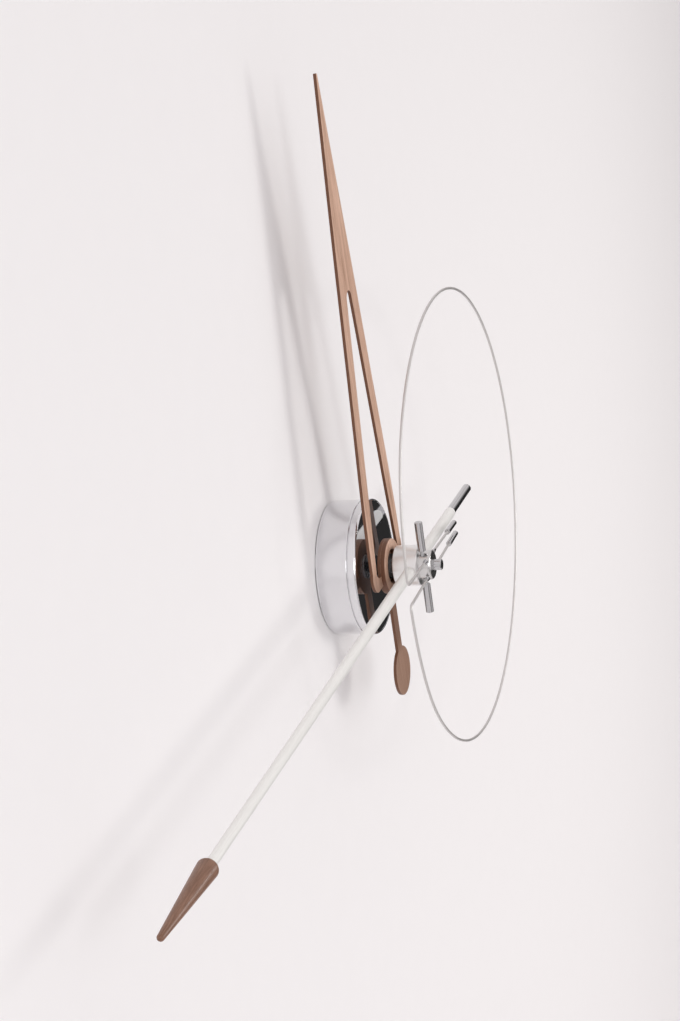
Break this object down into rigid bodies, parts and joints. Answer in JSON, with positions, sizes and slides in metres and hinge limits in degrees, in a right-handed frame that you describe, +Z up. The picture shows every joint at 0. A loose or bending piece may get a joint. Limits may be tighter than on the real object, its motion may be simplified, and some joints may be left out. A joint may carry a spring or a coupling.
{
  "type": "wall clock",
  "caption": "Sculptural wall clock: small round steel case, forked walnut hour hand with a paddle tail, long rod minute hand balanced by a wire ring.",
  "frame": {"origin": "on the wall, on the axis of the hands, at the back face of the wall plate", "axes": "+Y into the wall along the axis of the hands, +Z up, +X to the right seen from the room"},
  "size_m": [0.9238, 0.1016, 0.688],
  "materials": {
    "galvanised_steel": "zinc-plated sheet",
    "polished_steel": "polished steel drum and cover",
    "mirror_face": "dark mirror polish",
    "chrome": "polished chrome plate",
    "steel_wire": "drawn stainless wire",
    "steel": "turned steel",
    "satin_metal": "pale satin-plated hub",
    "black_steel": "black oxide screws",
    "brass": "turned brass",
    "walnut": "oiled walnut, fine straight grain",
    "fibreglass": "off-white fibreglass tube, satin gel coat",
    "housing_plastic": "black moulded plastic",
    "gear_plastic": "natural acetal",
    "rubber": "black rubber",
    "circuit_board": "green glass-epoxy board",
    "copper_wire": "enamelled copper winding",
    "battery_sleeve": "plain printed-free sleeve",
    "magnet": "sintered magnet"
  },
  "bodies": {
    "case": {"wall_plate": "galvanised_steel", "drum": "polished_steel", "case_screws": "black_steel", "front_cover": "polished_steel", "mirror_disc": "mirror_face", "rear_housing": "housing_plastic", "front_housing": "housing_plastic", "housing_screws": "steel", "threaded_bush": "black_steel", "rubber_washer": "rubber", "dial_washer": "black_steel", "dial_nut": "black_steel", "circuit_board": "circuit_board", "clock_chip": "housing_plastic", "quartz_crystal": "steel", "stator_plate": "steel", "coil_core": "steel", "coil_bobbin": "gear_plastic", "coil_winding": "copper_wire", "battery": "battery_sleeve", "contact_positive": "steel", "contact_negative": "steel"},
    "minute_hand": {"centre_wheel": "brass", "minute_arbor": "steel", "hub_barrel": "satin_metal", "hub_set_screws": "black_steel", "wire_ring": "steel_wire", "wire_end_sleeves": "chrome", "wire_ferrules": "chrome", "hub_block": "satin_metal", "clamp_knob": "chrome", "cross_pin": "steel", "cross_weights": "chrome", "minute_rod": "fibreglass", "rod_tip": "walnut", "rod_weight": "chrome"},
    "hour_hand": {"hour_wheel": "black_steel", "hour_collet": "steel", "hour_blade": "walnut", "hour_boss": "walnut", "collet_nut": "black_steel"},
    "motion_wheel": {"minute_wheel": "gear_plastic", "setting_knob": "housing_plastic"},
    "third_wheel_body": {"third_wheel": "gear_plastic"},
    "rotor": {"rotor_pinion": "gear_plastic", "rotor_magnet": "magnet"}
  },
  "joints": [
    {"name": "minute_hand_turn", "type": "hinge", "parent": "case", "child": "minute_hand", "pos_m": [0, -0.06, 0], "axis": [0, 1, 0], "continuous": true},
    {"name": "hour_hand_turn", "type": "hinge", "parent": "case", "child": "hour_hand", "pos_m": [0, -0.04, 0], "axis": [0, 1, 0], "continuous": true},
    {"name": "motion_wheel_turn", "type": "hinge", "parent": "case", "child": "motion_wheel", "pos_m": [0.0135, -0.025, 0], "axis": [0, 1, 0], "continuous": true},
    {"name": "third_wheel_turn", "type": "hinge", "parent": "case", "child": "third_wheel_body", "pos_m": [-0.01196, -0.022, 0.00558], "axis": [0, 1, 0], "continuous": true},
    {"name": "rotor_turn", "type": "hinge", "parent": "case", "child": "rotor", "pos_m": [-0.01704, -0.02, -0.0053], "axis": [0, 1, 0], "continuous": true}
  ],
  "couplings": [
    {"joint": "hour_hand_turn", "follows": "minute_hand_turn", "ratio": 0.083333},
    {"joint": "motion_wheel_turn", "follows": "minute_hand_turn", "ratio": -0.33333},
    {"joint": "third_wheel_turn", "follows": "minute_hand_turn", "ratio": -10},
    {"joint": "rotor_turn", "follows": "minute_hand_turn", "ratio": 90}
  ]
}
